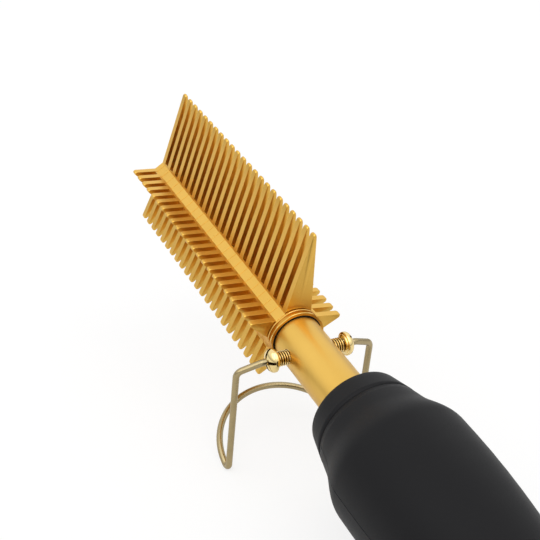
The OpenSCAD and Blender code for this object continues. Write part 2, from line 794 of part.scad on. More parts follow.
module board_parts() {
    under = -board_depth - board_t;
    color("dimgray") panel_frame() union() {
        translate([-7, -3.5, under - regulator.z]) cube(regulator);
        translate([10, 2.5, under - capacitor_h]) cylinder(h = capacitor_h, r = capacitor_r);
        translate([-15, -4, under - fuse_block.z]) cube(fuse_block);
    }
}
module switches() {
    color("black") panel_frame() for (i = [-1:1]) translate([i * button_pitch, 0, -board_depth]) union() {
        translate([-switch_w / 2, -switch_w / 2, 0]) cube([switch_w, switch_w, switch_h]);
        translate([0, 0, switch_h - tiny]) cylinder(h = plunger_h + tiny, r = plunger_r);
    }
}

// Tail
module supply_leads() {
    color("saddlebrown") rest_pose() for (side = [-1, 1])
        board_lead([-block_d, side * solder_y, 2], [-block_d + 3, side * solder_y, 2],
            [-solder_x, side * solder_y]);
}
module contact_block() {
    color(ceramic) rest_pose() rod_x(-block_d - block_len, -block_d, block_r);
}
module swivel_bearing() {
    color(ceramic) rest_pose()
        tube_x(-bearing_d - bearing_len, -bearing_d, bearing_r, gland_d / 2 + run_gap);
}
module swivel_gland() {
    shaft_r = gland_d / 2;
    nose_start = tail_d + move_gap;
    color(near_black) rest_pose() turned(concat(
        [[cord_bore_d / 2, -gland_end_d], [shaft_r - gland_step, -gland_end_d],
            [shaft_r - gland_step, -clip_d - clip_t], [shaft_r, -clip_d - clip_t],
            [shaft_r, -nose_start], [nose_r - 0.3, -nose_start], [nose_r, -nose_start - 0.3]],
        [for (a = [0:18:90])
            [nose_end_r + (nose_r - nose_end_r) * cos(a), -nose_end_d + (nose_len - 2) * (1 - sin(a))]],
        [[cord_bore_d / 2, -nose_end_d]]));
}
module swivel_clip() {
    color(steel) rest_pose() tube_x(-clip_d - clip_t, -clip_d, clip_r, gland_d / 2 - gland_step);
}

comb_head();
top_teeth();
left_side_teeth();
right_side_teeth();
left_lower_teeth();
right_lower_teeth();
comb_end_plug();
heater_fillers();
heater_film();
ptc_stones();
heater_electrodes();
barrel();
barrel_seal();
lead_spacer();
thermal_fuse();
heater_leads();
pivot_nuts();
pivot_screw_left();
pivot_screw_right();
stand_wire();
handle_collar();
handle_shell_upper();
handle_shell_lower();
barrel_holder();
barrel_pin();
shell_screws();
control_panel();
power_button();
plus_button();
minus_button();
indicator_lens();
circuit_board();
board_parts();
switches();
supply_leads();
contact_block();
swivel_bearing();
swivel_gland();
swivel_clip();
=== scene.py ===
import json
import math
from collections import namedtuple

import bmesh
import bpy
from mathutils import Matrix, Vector


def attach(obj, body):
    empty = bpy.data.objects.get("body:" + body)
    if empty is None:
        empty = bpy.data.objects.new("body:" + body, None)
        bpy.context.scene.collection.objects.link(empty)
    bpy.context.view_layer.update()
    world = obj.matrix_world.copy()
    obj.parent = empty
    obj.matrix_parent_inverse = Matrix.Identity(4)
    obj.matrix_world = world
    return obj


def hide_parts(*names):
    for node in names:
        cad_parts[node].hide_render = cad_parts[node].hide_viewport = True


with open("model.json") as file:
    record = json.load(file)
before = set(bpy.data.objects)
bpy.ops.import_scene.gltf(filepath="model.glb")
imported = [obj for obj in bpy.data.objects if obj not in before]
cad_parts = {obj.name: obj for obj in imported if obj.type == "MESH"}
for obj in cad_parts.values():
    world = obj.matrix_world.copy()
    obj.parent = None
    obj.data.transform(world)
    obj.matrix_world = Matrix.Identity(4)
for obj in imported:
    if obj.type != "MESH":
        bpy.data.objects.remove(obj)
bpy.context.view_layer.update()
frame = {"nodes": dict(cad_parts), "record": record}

MM = 0.001

# The resting pose of the tool, as the solids have it: tilt about Y and shift of the barrel's frame.
REST_TILT = math.radians(10.0321)
REST_SHIFT = Vector((37.8448, 0.0, 44.6653))
COMB_TURN = math.radians(6.3)
TO_ROOM = (Matrix.Translation(REST_SHIFT * MM) @ Matrix.Rotation(-REST_TILT, 4, "Y")
           @ Matrix.Scale(MM, 4))
COMB_TO_ROOM = TO_ROOM @ Matrix.Rotation(COMB_TURN, 4, "X")

# Comb head, in millimetres
TOOTH_COUNT = 23
TOOTH_PITCH = 4.75
TOOTH_T = 2.3
RING_R = 9.7
RING_W = 0.5
RING_GAP = 1.3
RING_LEN = 2 * RING_W + RING_GAP
TOOTH_START = RING_LEN + 0.35
COMB_LEN = TOOTH_START + (TOOTH_COUNT - 1) * TOOTH_PITCH + TOOTH_T
LAND_R = 9.45
NECK_R = 9.15
# Each land: direction and half its angle
LANDS = ((-19.5, 16.5), (48.0, 11.0), (132.0, 11.0), (199.5, 16.5), (270.0, 14.0))
# A row of teeth: direction, half the angle of its base, tip radius, tip width, lean of the tips,
# rounding of the tips and rise of the gaps' floors above the chord between the lands
Row = namedtuple("Row", "direction half tip width lean rounding rise")
ROWS = (Row(-56.0, 20.0, 18.1, 0.7, -0.7, 0.5, 0.3),
        Row(17.0, 20.0, 17.4, 0.9, 0.0, 0.5, 0.9),
        Row(90.0, 31.0, 37.0, 0.9, 0.0, 0.7, 0.8),
        Row(163.0, 20.0, 17.4, 0.9, 0.0, 0.5, 0.9),
        Row(236.0, 20.0, 18.1, 0.7, 0.7, 0.5, 0.3))
TOOTH_NODES = ("top_teeth", "left_side_teeth", "right_side_teeth", "left_lower_teeth",
               "right_lower_teeth")
TOOTH_FOOT_R = 8.0
PLATE_DEPTHS = (0.0, 0.02, 0.07, 0.13, 0.22, 0.34, 0.5, 0.7)
NOSE_STEPS = 10
SEAL_R = 8.58
SEAL_SEAT = 0.6
SEAL_PROUD = 0.12
SOCKET_R = 8.2
SOCKET_DEPTH = 4.0
BORE_R = 5.5
EDGE = 0.07
# Rounded edge of a turned ring: steps along the axis and down from the crown
RING_EDGE = ((0.0, 0.16), (0.05, 0.05), (0.16, 0.0))
RING_STEPS = 240
SEAL_STEPS = 144

# Pivot screws and stand
BARREL_R = 8.15
PIVOT = Vector((-8.6, 0.0, 0.5))
SCREW_R = 2.5
SCREW_SEAT = 12.45
SCREW_TIP = 4.75
SCREW_STEPS = 64
HEAD_R = 3.95
HEAD_H = 3.0
HEAD_RIM_H = 0.7
DOME_H = HEAD_H - HEAD_RIM_H
HEAD_TOP = SCREW_SEAT + HEAD_H
COLLAR_R = 3.2
COLLAR_Z = SCREW_SEAT - 0.5
SLOT_HALF_W = 0.5
SLOT_FLOOR = SCREW_SEAT + 1.1
SLOT_TURNS = (20.0, 110.0)
THREAD_PITCH = 0.8
THREAD_DEPTH = 0.5
THREAD_ROWS = 9
WIRE_R = 1.1
WIRE_GAP = 0.05
WIRE_END = 8.95
LEG_X = -6.2
LEG_Y = 24.2
LEG_DROP = 44.0
ELBOW_Z = -3.3
FOOT_R = 2.2
ELBOW_R = 3.0
ARM_REACH = HEAD_TOP + 1.2
LOOP_RISE = math.radians(19.0)
LOOP_STRAIGHT = 0.4
LOOP_STEPS = 64

# Controls and tail
PANEL_D = 134.6
PANEL_Z = 15.731
PANEL_SLOPE = math.radians(6.95534)
PANEL_TO_ROOM = (TO_ROOM @ Matrix.Translation((-PANEL_D, 0.0, PANEL_Z))
                 @ Matrix.Rotation(-PANEL_SLOPE, 4, "Y"))
BUTTON_R = 4.2
BUTTON_PITCH = 11.0
BUTTON_PROUD = 0.7
BUTTON_STEPS = 72
STEM_R = 1.8
STEM_FOOT = -5.3
SIGN_REACH = 1.3
SIGN_HALF_W = 0.17
# The power sign: its ring, the angle where the ring opens, and its bar's middle and half length
POWER_R = 1.35
POWER_HALF_W = 0.16
POWER_OPENING = 35.0
POWER_BAR = 1.05
POWER_BAR_HALF = 0.75
TAIL_D = 180.0

# Cord gland
GLAND_START = TAIL_D + 0.3
GLAND_END = TAIL_D + 8.0
GLAND_FRONT = 169.5
GLAND_CLIP = 171.7
GLAND_BORE_R = 3.0
GLAND_SHAFT_R = 6.0
GLAND_FLANGE_R = 9.0
# The gland's nose swells from its mouth to the flange and has grooves round it
GLAND_MOUTH_R = 6.5
GLAND_SWELL = 2.5
GLAND_NOSE_LEN = 6.3
GLAND_GROOVES = 3
GLAND_GROOVE_PITCH = 1.25
GLAND_GROOVE_DEPTH = 0.5
GRIP_ROOT_R = 8.72
GRIP_LEN = 1.7
GRIP_RIBS = 28
GLAND_STEPS = 96

# Camera, in the barrel's frame
CAMERA_LENS = 79.46
CAMERA_PLACE = Vector((-268.52, 159.26, 227.55))
CAMERA_RIGHT = Vector((-0.4329, -0.8980, 0.0791))
CAMERA_DOWN = Vector((-0.5207, 0.1774, -0.8351))

# Floor: half its width in metres, and how far its own white light covers what is seen of it
FLOOR_REACH = 6.0
FLOOR_GLOW = 1.05
FLOOR_SHARE = 0.72
FLOOR_MIRRORED = 0.4
# Room light: its strength at the horizon and above, on the tool and as the tool mirrors it, and
# the height at which it reaches the second
ROOM_LIGHT = (0.45, 0.62)
MIRRORED_LIGHT = (0.40, 1.06)
ROOM_FADE = 0.35


# ---------------------------------------------------------------- materials
class Finish:
    """One node material under construction."""

    def __init__(self, name, **shader_values):
        self.material = bpy.data.materials.new(name)
        self.material.use_nodes = True
        self.tree = self.material.node_tree
        self.shader = self.tree.nodes["Principled BSDF"]
        for socket, value in shader_values.items():
            self.shader.inputs[socket.replace("_", " ")].default_value = value
        self.place = self.add("ShaderNodeTexCoord").outputs["Object"]

    def add(self, kind, **settings):
        node = self.tree.nodes.new(kind)
        for key, value in settings.items():
            setattr(node, key, value)
        return node

    def link(self, source, target):
        self.tree.links.new(source, target)

    def stretched(self, scale, turn):
        mapping = self.add("ShaderNodeMapping")
        mapping.inputs["Scale"].default_value = scale
        mapping.inputs["Rotation"].default_value = turn
        self.link(self.place, mapping.inputs["Vector"])
        return mapping.outputs["Vector"]

    def noise(self, scale, detail=4.0, roughness=0.5, vector=None):
        node = self.add("ShaderNodeTexNoise")
        node.inputs["Scale"].default_value = scale
        node.inputs["Detail"].default_value = detail
        node.inputs["Roughness"].default_value = roughness
        self.link(vector or self.place, node.inputs["Vector"])
        return node.outputs["Fac"]

    def spread(self, source, low, high, from_low=0.3, from_high=0.7):
        node = self.add("ShaderNodeMapRange")
        node.inputs["From Min"].default_value = from_low
        node.inputs["From Max"].default_value = from_high
        node.inputs["To Min"].default_value = low
        node.inputs["To Max"].default_value = high
        self.link(source, node.inputs["Value"])
        return node.outputs["Result"]

    def blend_colour(self, factor, first, second):
        node = self.add("ShaderNodeMix", data_type="RGBA")
        self.link(factor, node.inputs["Factor"])
        node.inputs["A"].default_value = (*first, 1.0)
        node.inputs["B"].default_value = (*second, 1.0)
        self.link(node.outputs["Result"], self.shader.inputs["Base Color"])

    def roughness(self, source, low, high):
        self.link(self.spread(source, low, high), self.shader.inputs["Roughness"])

    def bump(self, height, distance, strength):
        node = self.add("ShaderNodeBump")
        node.inputs["Strength"].default_value = strength
        node.inputs["Distance"].default_value = distance
        self.link(height, node.inputs["Height"])
        self.link(node.outputs["Normal"], self.shader.inputs["Normal"])


def satin_gold(name, light, deep, rough, grain_scale, depth=0.000006):
    """Anodised aluminium: fine grain along the extrusion and slow changes of tone."""
    finish = Finish(name, Metallic=1.0)
    grain = finish.noise(1.0, 5.0, 0.6, finish.stretched(grain_scale, (0.0, REST_TILT, 0.0)))
    cloud = finish.noise(55.0, 3.0)
    finish.blend_colour(finish.spread(cloud, 0.0, 1.0, 0.25, 0.75), deep, light)
    finish.roughness(grain, rough - 0.05, rough + 0.06)
    finish.bump(grain, depth, 0.3)
    return finish.material


def plain_plastic(name, colour, rough, grain=2600.0, specular=0.4):
    """Moulded plastic with a fine spark-eroded grain."""
    finish = Finish(name)
    finish.shader.inputs["Specular IOR Level"].default_value = specular
    cloud = finish.noise(40.0, 2.0)
    lighter = tuple(min(1.0, c * 1.12 + 0.001) for c in colour)
    finish.blend_colour(cloud, colour, lighter)
    fine = finish.noise(grain, 3.0, 0.6)
    finish.roughness(fine, rough - 0.04, rough + 0.05)
    finish.bump(fine, 0.00001, 0.4)
    return finish.material


def plain_metal(name, colour, rough):
    """Turned or drawn metal with light marks from use."""
    finish = Finish(name, Metallic=1.0)
    cloud = finish.noise(180.0, 3.0)
    darker = tuple(c * 0.88 for c in colour)
    finish.blend_colour(finish.spread(cloud, 0.0, 1.0), colour, darker)
    fine = finish.noise(900.0, 3.0)
    finish.roughness(fine, rough * 0.85, rough * 1.2)
    finish.bump(fine, 0.000001, 0.2)
    return finish.material


MATERIALS = {
    "anodised_gold": satin_gold("anodised_gold", (0.80, 0.49, 0.105), (0.74, 0.44, 0.085), 0.32,
                                (60.0, 2400.0, 2400.0)),
    "barrel_gold": satin_gold("barrel_gold", (0.79, 0.50, 0.115), (0.73, 0.45, 0.095), 0.36,
                              (3600.0, 4200.0, 4200.0), 0.000001),
    "polished_gold": plain_metal("polished_gold", (0.94, 0.73, 0.33), 0.10),
    "plated_wire": plain_metal("plated_wire", (0.42, 0.335, 0.18), 0.24),
    "plated_metal": plain_metal("plated_metal", (0.60, 0.60, 0.61), 0.25),
    "bare_aluminium": plain_metal("bare_aluminium", (0.70, 0.70, 0.72), 0.40),
    "bare_brass": plain_metal("bare_brass", (0.72, 0.52, 0.22), 0.30),
    "handle_black": plain_plastic("handle_black", (0.0075, 0.0075, 0.0085), 0.50, specular=0.14),
    "panel_black": plain_plastic("panel_black", (0.008, 0.008, 0.009), 0.30, 3200.0),
    "button_grey": plain_plastic("button_grey", (0.030, 0.030, 0.032), 0.42, specular=0.3),
    "black_seal": plain_plastic("black_seal", (0.005, 0.003, 0.003), 0.55, specular=0.1),
    "gland_black": plain_plastic("gland_black", (0.014, 0.014, 0.015), 0.50),
    "black_parts": plain_plastic("black_parts", (0.014, 0.014, 0.014), 0.45),
    "bearing_plastic": plain_plastic("bearing_plastic", (0.035, 0.035, 0.037), 0.40),
    "white_ceramic": plain_plastic("white_ceramic", (0.70, 0.68, 0.62), 0.60),
    "sleeved_lead": plain_plastic("sleeved_lead", (0.34, 0.02, 0.012), 0.50),
    "amber_film": plain_plastic("amber_film", (0.48, 0.15, 0.01), 0.18),
    "board_green": plain_plastic("board_green", (0.008, 0.075, 0.025), 0.25),
    "clear_lens": plain_plastic("clear_lens", (0.55, 0.62, 0.66), 0.10),
}
PRINT_WHITE = plain_plastic("print_white", (0.62, 0.62, 0.61), 0.45)
# Dark gold painted as shade into the screws' slots, wire holes and thread roots.
PAINTED_SHADE_SCREW_GOLD = plain_metal("painted_shade_screw_gold", (0.20, 0.105, 0.025), 0.35)
# Smoother gold for the turned crowns, painted paler as highlight.
TURNED_HIGHLIGHT_GOLD = satin_gold("turned_highlight_gold", (0.90, 0.66, 0.24), (0.86, 0.61, 0.20), 0.16,
                         (2400.0, 500.0, 500.0))
# Darker gold painted as shade in the groove between the rings, on their sides and in the socket.
PAINTED_SHADE_RING_GOLD = satin_gold("painted_shade_ring_gold", (0.64, 0.33, 0.055), (0.58, 0.29, 0.045), 0.34,
                       (2400.0, 500.0, 500.0))

slots = {s["node"]: s["material_slot"] for s in frame["record"]["subparts"]}
body_of_node = {n: b for b, nodes in frame["record"]["behaviour"]["bodies"].items() for n in nodes}
for node_name, node_object in frame["nodes"].items():
    node_object.data.materials.clear()
    node_object.data.materials.append(MATERIALS[slots[node_name]])


# ---------------------------------------------------------------- building meshes
class Shell:
    """A closed mesh skinned over loops of points, in millimetres."""

    def __init__(self):
        self.mesh = bmesh.new()

    def loop(self, points):
        return [self.mesh.verts.new(p) for p in points]

    def skin(self, first, second):
        for i in range(len(first)):
            j = (i + 1) % len(first)
            self.mesh.faces.new((first[i], first[j], second[j], second[i]))

    def lid(self, loop):
        self.mesh.faces.new(loop)

    def run(self, loops, closed=False):
        """Skins loop after loop, then joins the last to the first or puts a lid on each end."""
        rings = [self.loop(points) for points in loops]
        for first, second in zip(rings, rings[1:]):
            self.skin(first, second)
        if closed:
            self.skin(rings[-1], rings[0])
        else:
            self.lid(rings[0])
            self.lid(rings[-1])
        return self

    def into(self, name, place=None):
        bmesh.ops.recalc_face_normals(self.mesh, faces=self.mesh.faces[:])
        mesh = bpy.data.meshes.new(name)
        self.mesh.to_mesh(mesh)
        self.mesh.free()
        if place is not None:
            mesh.transform(place)
        return mesh


def circle(radius, steps):
    """Points of a circle in its own plane."""
    angles = [math.tau * k / steps for k in range(steps)]
    return [(radius * math.cos(angle), radius * math.sin(angle)) for angle in angles]


def circle_x(x, radius, steps):
    """A circle round the X axis."""
    return [Vector((x, *point)) for point in circle(radius, steps)]


def circle_z(z, radius, steps):
    """A circle round the Z axis."""
    return [Vector((*point, z)) for point in circle(radius, steps)]


def rectangle(x, y, half_x, half_y, z):
    """The corners of a level rectangle round a point."""
    return [Vector((x + a * half_x, y + b * half_y, z))
            for a, b in ((-1, -1), (1, -1), (1, 1), (-1, 1))]


def soften(mesh, sharp_angle):
    """Smooth shading with every edge over the angle, in degrees, left sharp."""
    mesh.polygons.foreach_set("use_smooth", [True] * len(mesh.polygons))
    mesh.set_sharp_from_angle(angle=math.radians(sharp_angle))


def put(name, data):
    item = bpy.data.objects.new(name, data)
    bpy.context.scene.collection.objects.link(item)
    return item


def stand_for(name, mesh, node, sharp_angle=30.0, extra=()):
    """Puts a finished mesh in the scene in place of a CAD node, on its body and in its finish."""
    soften(mesh, sharp_angle)
    piece = put(name, mesh)
    if not mesh.materials:
        for material in (MATERIALS[slots[node]], *extra):
            mesh.materials.append(material)
    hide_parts(node)
    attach(piece, body_of_node[node])
    return piece


def dress_copy(node):
    """A merged, smoothly shaded copy of a CAD node."""
    source = frame["nodes"][node]
    form = bmesh.new()
    form.from_mesh(source.data)
    bmesh.ops.remove_doubles(form, verts=form.verts[:], dist=2e-6)
    mesh = bpy.data.meshes.new(node + "_form")
    form.to_mesh(mesh)
    form.free()
    mesh.transform(source.matrix_world)
    stand_for(node + "_dressed", mesh, node)


def evaluated_copy(name, source):
    """The source object's mesh as its modifiers leave it. The source is removed."""
    graph = bpy.context.evaluated_depsgraph_get()
    mesh = bpy.data.meshes.new_from_object(source.evaluated_get(graph), depsgraph=graph)
    mesh.name = name
    bpy.data.objects.remove(source)
    return mesh


def repeat_nodes():
    """Node group that joins a base with copies of a part, each a step and a turn after the last."""
    group = bpy.data.node_groups.new("repeat_part", "GeometryNodeTree")
    sockets = {}
    for name, kind in (("Base", "Geometry"), ("Part", "Object"), ("Count", "Int"),
                       ("Start", "Vector"), ("Step", "Vector"), ("Turn", "Vector"),
                       ("Finish", "Material")):
        socket = group.interface.new_socket(name, in_out="INPUT", socket_type="NodeSocket" + kind)
        sockets[name] = socket.identifier
    group.interface.new_socket("Result", in_out="OUTPUT", socket_type="NodeSocketGeometry")

    def add(kind, **settings):
        node = group.nodes.new(kind)
        for key, value in settings.items():
            setattr(node, key, value)
        return node

    given, result = add("NodeGroupInput"), add("NodeGroupOutput")
    line = add("GeometryNodeMeshLine", mode="OFFSET")
    part = add("GeometryNodeObjectInfo")
    part.inputs["As Instance"].default_value = True
    number = add("GeometryNodeInputIndex")
    turn = add("ShaderNodeVectorMath", operation="SCALE")
    copies = add("GeometryNodeInstanceOnPoints")
    real = add("GeometryNodeRealizeInstances")
    joined = add("GeometryNodeJoinGeometry")
    coat = add("GeometryNodeSetMaterial")
    for source, target in (
            (given.outputs["Count"], line.inputs["Count"]),
            (given.outputs["Start"], line.inputs["Start Location"]),
            (given.outputs["Step"], line.inputs["Offset"]),
            (given.outputs["Part"], part.inputs["Object"]),
            (given.outputs["Turn"], turn.inputs[0]),
            (number.outputs[0], turn.inputs["Scale"]),
            (line.outputs["Mesh"], copies.inputs["Points"]),
            (part.outputs["Geometry"], copies.inputs["Instance"]),
            (turn.outputs[0], copies.inputs["Rotation"]),
            (copies.outputs["Instances"], real.inputs[0]),
            (real.outputs[0], coat.inputs["Geometry"]),
            (given.outputs["Finish"], coat.inputs["Material"]),
            (coat.outputs[0], joined.inputs[0]),
            (given.outputs["Base"], joined.inputs[0]),
            (joined.outputs[0], result.inputs["Result"])):
        group.links.new(source, target)
    return group, sockets


REPEAT, REPEAT_SOCKETS = repeat_nodes()


def repeated(name, base_mesh, part_mesh, count, start, step, turn, material):
    """One mesh: the base and count copies of the part."""
    part = put(name + "_part", part_mesh)
    base = put(name + "_base", base_mesh)
    modifier = base.modifiers.new("repeat", "NODES")
    modifier.node_group = REPEAT
    for key, value in (("Part", part), ("Count", count), ("Start", start), ("Step", step),
                       ("Turn", turn), ("Finish", material)):
        modifier[REPEAT_SOCKETS[key]] = value
    base.update_tag()
    bpy.context.view_layer.update()
    mesh = evaluated_copy(name, base)
    bpy.data.objects.remove(part)
    return mesh


# ---------------------------------------------------------------- comb head
def from_row(direction, y, z):
    """A point of a row's own frame, z along its teeth, in the comb's section."""
    turn = math.radians(direction - 90.0)
    cos, sin = math.cos(turn), math.sin(turn)
    return Vector((y * cos - z * sin, y * sin + z * cos))


def inset_outline(corners, depth):
    """The outline with every side moved inwards by depth."""
    count = len(corners)
    result = []
    for i in range(count):
        before, here, after = corners[i - 1], corners[i], corners[(i + 1) % count]
        a, b = (here - before).normalized(), (after - here).normalized()
        normal_a, normal_b = Vector((-a.y, a.x)), Vector((-b.y, b.x))
        middle = (normal_a + normal_b) / (1.0 + normal_a.dot(normal_b))
        result.append(here + middle * depth)
    return result


def finer(corners, cuts):
    """The outline with each side cut into cuts[i % len(cuts)] stretches."""
    points = []
    for i, here in enumerate(corners):
        after = corners[(i + 1) % len(corners)]
        cut = cuts[i % len(cuts)]
        points += [here.lerp(after, k / cut) for k in range(cut)]
    return points


def rounding_drop(depth, radius):
    """How far an edge rounded to radius lies back at depth from the face."""
    return radius - math.sqrt(radius ** 2 - (radius - depth) ** 2) if depth < radius else 0.0


def round_nose(right, left, top, first, last):
    """Points of the arc that touches a tooth's top and its sides, which slope by first and last."""
    radius = (right - left) / sum(1 / math.cos(slope) - math.tan(slope) for slope in (first, last))
    middle = right + radius * (math.tan(first) - 1 / math.cos(first))
    angles = [first + (math.pi - first - last) * k / NOSE_STEPS for k in range(NOSE_STEPS + 1)]
    return [(middle + radius * math.cos(angle), top - radius + radius * math.sin(angle))
            for angle in angles]


def section(tops, rounded):
    """Corners of the comb's section, each row ending at its own height, flat or with a nose."""
    corners = []
    for row, top in zip(ROWS, tops):
        base_y = LAND_R * math.sin(math.radians(row.half))
        base_z = LAND_R * math.cos(math.radians(row.half))
        tip_y = -row.tip * math.sin(math.radians(row.lean))
        along = (top - base_z) / (row.tip - base_z)
        right, left = (side * base_y + (tip_y + side * row.width / 2 - side * base_y) * along
                       for side in (1, -1))
        end = [(right, top), (left, top)]
        if rounded:
            end = round_nose(right, left, top, math.atan((base_y - right) / (top - base_z)),
                             math.atan((base_y + left) / (top - base_z)))
        corners += [from_row(row.direction, y, z)
                    for y, z in ((base_y, base_z), *end, (-base_y, base_z))]
    return corners


def plate_outline(depth):
    """Section of a plate at a depth behind its face: five teeth and the lands between them."""
    tops = [row.tip - rounding_drop(depth, row.rounding) for row in ROWS]
    corners = inset_outline(section(tops, True), rounding_drop(depth, EDGE))
    return finer(corners, (5, *[1] * NOSE_STEPS, 5, 4))


def core_outline(share):
    """Section between the plates: lands a hair lower, the gaps' floors at a share of their rise."""
    tops = [LAND_R * math.cos(math.radians(row.half)) + row.rise * share for row in ROWS]
    return finer(inset_outline(section(tops, False), 0.12), (2, 6, 2, 4))


def around(outline, x, radius):
    """A circle at x with one point under each point of the outline."""
    return [Vector((x, *(point.normalized() * radius))) for point in outline]


def comb_plate():
    """One plate with its five teeth, open in the middle where the core runs through."""
    front = [(depth, plate_outline(depth)) for depth in PLATE_DEPTHS]
    back = [(TOOTH_T - depth, outline) for depth, outline in reversed(front)]
    loops = [[Vector((x, *point)) for point in outline] for x, outline in front + back]
    flat = front[-1][1]
    loops += [around(flat, TOOTH_T, TOOTH_FOOT_R), around(flat, 0.0, TOOTH_FOOT_R)]
    return Shell().run(loops, closed=True).into("comb_plate")


def comb_core():
    """The comb's core between the plates, with its bores and the turned rings."""
    bare, outline = core_outline(0.05), core_outline(1.0)
    start, rise, end = RING_LEN - 0.2, TOOTH_START + 0.1, COMB_LEN - 0.02
    step = SEAL_SEAT + SOCKET_DEPTH
    loops = [[Vector((x, *point)) for point in form] for x, form in
             ((start, bare), (rise, bare), (rise, outline), (end, outline))]
    loops += [around(outline, x, radius) for x, radius in
              ((end, BORE_R), (step, BORE_R), (step, SOCKET_R), (start, SOCKET_R))]
    shell = Shell().run(loops, closed=True)
    core_faces = len(shell.mesh.faces)
    add_rings(shell)
    # Ring crowns get a paler gold as painted highlight; the groove, the rings' sides and the socket
    # get a darker gold as painted shade.
    for face in list(shell.mesh.faces)[core_faces:]:
        face.material_index = ring_finish_and_painted_light(face.calc_center_median())
    mesh = shell.into("comb_core")
    for material in (MATERIALS["anodised_gold"], TURNED_HIGHLIGHT_GOLD, PAINTED_SHADE_RING_GOLD):
        mesh.materials.append(material)
    return mesh


def add_rings(shell):
    """The two turned rings, with the lands running through them as flats."""
    def flattened(x, radius):
        points = []
        for k in range(RING_STEPS):
            angle = math.tau * k / RING_STEPS
            reach = radius
            for direction, half in LANDS:
                across = math.cos(angle - math.radians(direction))
                if across > 0.9:
                    reach = min(reach, LAND_R * math.cos(math.radians(half)) / across)
            points.append(Vector((x, reach * math.cos(angle), reach * math.sin(angle))))
        return points

    second, foot = RING_W + RING_GAP, RING_LEN + 0.25
    profile = []
    for start in (0.0, second):
        end = start + RING_W
        profile += [(start + along, RING_R - down) for along, down in RING_EDGE]
        profile += [(end - along, RING_R - down) for along, down in reversed(RING_EDGE)]
        profile.append((end, NECK_R))
        if start < second:
            profile.append((second, NECK_R))
    profile.append((foot, NECK_R - 0.1))
    socket = ((foot, SOCKET_R), (SEAL_SEAT, SOCKET_R), (SEAL_SEAT, SEAL_R + 0.02),
              (0.08, SEAL_R + 0.02), (0.0, SEAL_R + 0.1))
    loops = [flattened(x, radius) for x, radius in profile]
    loops += [circle_x(x, radius, RING_STEPS) for x, radius in socket]
    shell.run(loops, closed=True)


def ring_finish_and_painted_light(place):
    """Index of the finish at a place on the rings: 1 on crowns, turned smoother and painted paler
    as highlight, 0 on flats and 2 elsewhere, in a darker gold painted as shade.
    """
    margin = 0.02
    on_ring = (margin < place.x < RING_W - margin
               or RING_LEN - RING_W + margin < place.x < RING_LEN - margin)
    reach = place.yz.length if on_ring else 0.0
    return 1 if reach > RING_R - 0.08 else 0 if reach > SEAL_R + 0.2 else 2


def build_comb_head():
    mesh = repeated("comb_head_form", comb_core(), comb_plate(), TOOTH_COUNT, (TOOTH_START, 0, 0),
                    (TOOTH_PITCH, 0, 0), (0, 0, 0), MATERIALS["anodised_gold"])
    mesh.transform(COMB_TO_ROOM)
    comb = stand_for("comb_head_dressed", mesh, "comb_head", 20.0)
    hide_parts(*TOOTH_NODES)


def build_seal():
    """The seal's ring, with a rounded lip that stands a little out of the comb head."""
    lip, back, inner = -SEAL_PROUD, SEAL_SEAT - 0.02, BARREL_R + 0.02
    profile = [(back, inner), (lip + 0.08, inner), (lip, inner + 0.08), (lip, SEAL_R - 0.12),
               (lip + 0.05, SEAL_R - 0.03), (lip + 0.12, SEAL_R), (back, SEAL_R)]
    loops = [circle_x(x, radius, SEAL_STEPS) for x, radius in profile]
    mesh = Shell().run(loops, closed=True).into("barrel_seal_form", TO_ROOM)
    stand_for("barrel_seal_dressed", mesh, "barrel_seal", 50.0)


# ---------------------------------------------------------------- pivot screws and stand
def thread_radius(turns):
    """Radius of the thread at a place along its own turn, from 0 to 1."""
    slope = abs(2.0 * (turns % 1.0) - 1.0)
    return SCREW_R - THREAD_DEPTH * min(1.0, max(0.0, 1.6 * slope - 0.3))


def screw_loops():
    """Loops of a screw along Z, from its tip over thread and head to the wire hole's floor."""
    root_r = SCREW_R - THREAD_DEPTH - 0.02
    loops = [circle_z(SCREW_TIP, root_r, SCREW_STEPS)]
    rows = int((COLLAR_Z - SCREW_TIP) / THREAD_PITCH * THREAD_ROWS)
    for row in range(1, rows):
        z = SCREW_TIP + (COLLAR_Z - SCREW_TIP) * row / rows
        fade = min(1.0, (z - SCREW_TIP) / 0.5, (COLLAR_Z - z) / 0.25)
        loop = []
        for k in range(SCREW_STEPS):
            angle = math.tau * k / SCREW_STEPS
            radius = thread_radius(z / THREAD_PITCH - k / SCREW_STEPS)
            radius = root_r + (radius - root_r) * fade
            loop.append(Vector((radius * math.cos(angle), radius * math.sin(angle), z)))
        loops.append(loop)
    rim_top = SCREW_SEAT + HEAD_RIM_H
    profile = [(COLLAR_Z, COLLAR_R - 0.35), (COLLAR_Z + 0.1, COLLAR_R - 0.1),
               (COLLAR_Z + 0.25, COLLAR_R), (SCREW_SEAT, COLLAR_R), (SCREW_SEAT, HEAD_R - 0.3),
               (SCREW_SEAT + 0.05, HEAD_R - 0.12), (SCREW_SEAT + 0.16, HEAD_R - 0.03),
               (SCREW_SEAT + 0.3, HEAD_R), (rim_top, HEAD_R)]
    for angle in range(8, 65, 8):
        turn = math.radians(angle)
        profile.append((rim_top + DOME_H * math.sin(turn), HEAD_R * math.cos(turn)))
    profile += [(HEAD_TOP - 0.04, WIRE_R + 0.13), (HEAD_TOP - 0.12, WIRE_R + WIRE_GAP),
                (WIRE_END - 0.5, WIRE_R + WIRE_GAP)]
    return loops + [circle_z(z, radius, SCREW_STEPS) for z, radius in profile]


def slot_blade(name, turn):
    """A wedge that cuts one slot across a screw's head, wider towards the top."""
    sizes = ((SLOT_FLOOR, SLOT_HALF_W * 0.8), (HEAD_TOP - 0.35, SLOT_HALF_W),
             (HEAD_TOP + 1.0, SLOT_HALF_W + 0.55))
    blade = Shell().run([rectangle(0.0, 0.0, HEAD_R + 1, half, z) for z, half in sizes])
    return put(name, blade.into(name, Matrix.Rotation(math.radians(turn), 4, "Z")))


